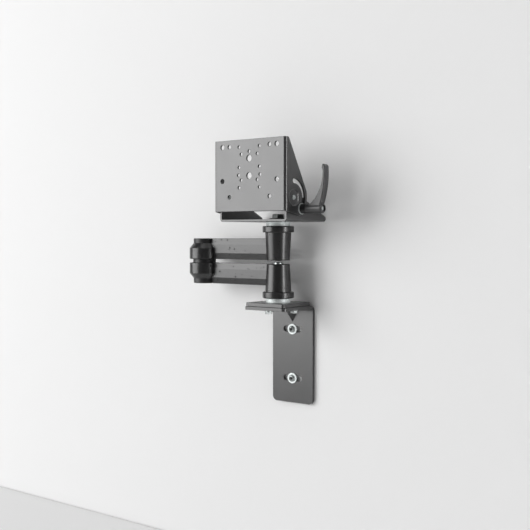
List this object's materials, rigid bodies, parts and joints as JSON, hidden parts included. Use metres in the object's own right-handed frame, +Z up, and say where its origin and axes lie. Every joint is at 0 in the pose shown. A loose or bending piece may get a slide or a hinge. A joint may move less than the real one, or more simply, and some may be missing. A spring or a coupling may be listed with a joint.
{
  "type": "wall mount bracket",
  "caption": "Folding wall mount with two swinging cast arms, a folded tray and a tilting drilled device plate clamped by a side lever.",
  "frame": {"origin": "on the wall, at the back face of the wall bracket, midway between its two slots", "axes": "+Z up along the wall, +X to the right seen from the room, +Y into the wall"},
  "size_m": [0.2862, 0.1479, 0.4055],
  "materials": {
    "powder_coat": "satin black powder coat on folded steel",
    "cast_coat": "satin black paint on a rough casting, small chips",
    "cap_plastic": "matt black moulded plastic",
    "zinc": "bright zinc plate",
    "black_oxide": "dull black oxide",
    "lever_coat": "textured black coat on die casting"
  },
  "bodies": {
    "wall_mount": {"wall_bracket": "powder_coat", "wall_screws": "zinc", "wall_washers": "zinc", "base_plate": "powder_coat", "base_bolts": "zinc", "base_bolt_washers": "zinc", "lower_spacer": "zinc", "lower_pivot_bolt": "zinc", "lower_pivot_nut": "zinc"},
    "lower_swing": {"lower_arm": "cast_coat", "lower_hub_cap": "cap_plastic", "elbow_spacer": "black_oxide", "elbow_bolt": "zinc", "elbow_nut": "zinc"},
    "upper_swing": {"upper_arm": "cast_coat", "upper_hub_cap": "cap_plastic"},
    "head": {"upper_spacer": "zinc", "head_tray": "powder_coat", "head_washer": "black_oxide", "head_bolt": "zinc", "head_nut": "zinc", "pivot_screws": "zinc", "pivot_nuts": "zinc", "clamp_nut": "zinc"},
    "tilt": {"tilt_bracket": "powder_coat"},
    "clamp": {"clamp_washer": "zinc", "clamp_insert": "black_oxide", "lever_screw": "zinc", "lever_spring": "zinc"},
    "lever": {"lever_handle": "lever_coat"}
  },
  "joints": [
    {"name": "base_swivel", "type": "hinge", "parent": "wall_mount", "child": "lower_swing", "pos_m": [0, -0.043, 0.116], "axis": [0, 0, 1], "range_deg": [-6, 186]},
    {"name": "elbow", "type": "hinge", "parent": "lower_swing", "child": "upper_swing", "pos_m": [-0.15, -0.043, 0.14525], "axis": [0, 0, 1], "continuous": true},
    {"name": "head_swivel", "type": "hinge", "parent": "upper_swing", "child": "head", "pos_m": [0, -0.043, 0.1745], "axis": [0, 0, 1], "continuous": true},
    {"name": "head_tilt", "type": "hinge", "parent": "head", "child": "tilt", "pos_m": [0, -0.0952, 0.2414], "axis": [-1, 0, 0], "range_deg": [0, 115]},
    {"name": "lever_turn", "type": "hinge", "parent": "head", "child": "clamp", "pos_m": [0.0688, -0.07745, 0.22525], "axis": [1, 0, 0], "range_deg": [-90, 90]},
    {"name": "lever_lift", "type": "slide", "parent": "clamp", "child": "lever", "axis": [1, 0, 0], "range_m": [0, 0.0035], "stiffness_N_per_m": 800, "springref_m": -0.003, "deforming": ["lever_spring"]}
  ]
}
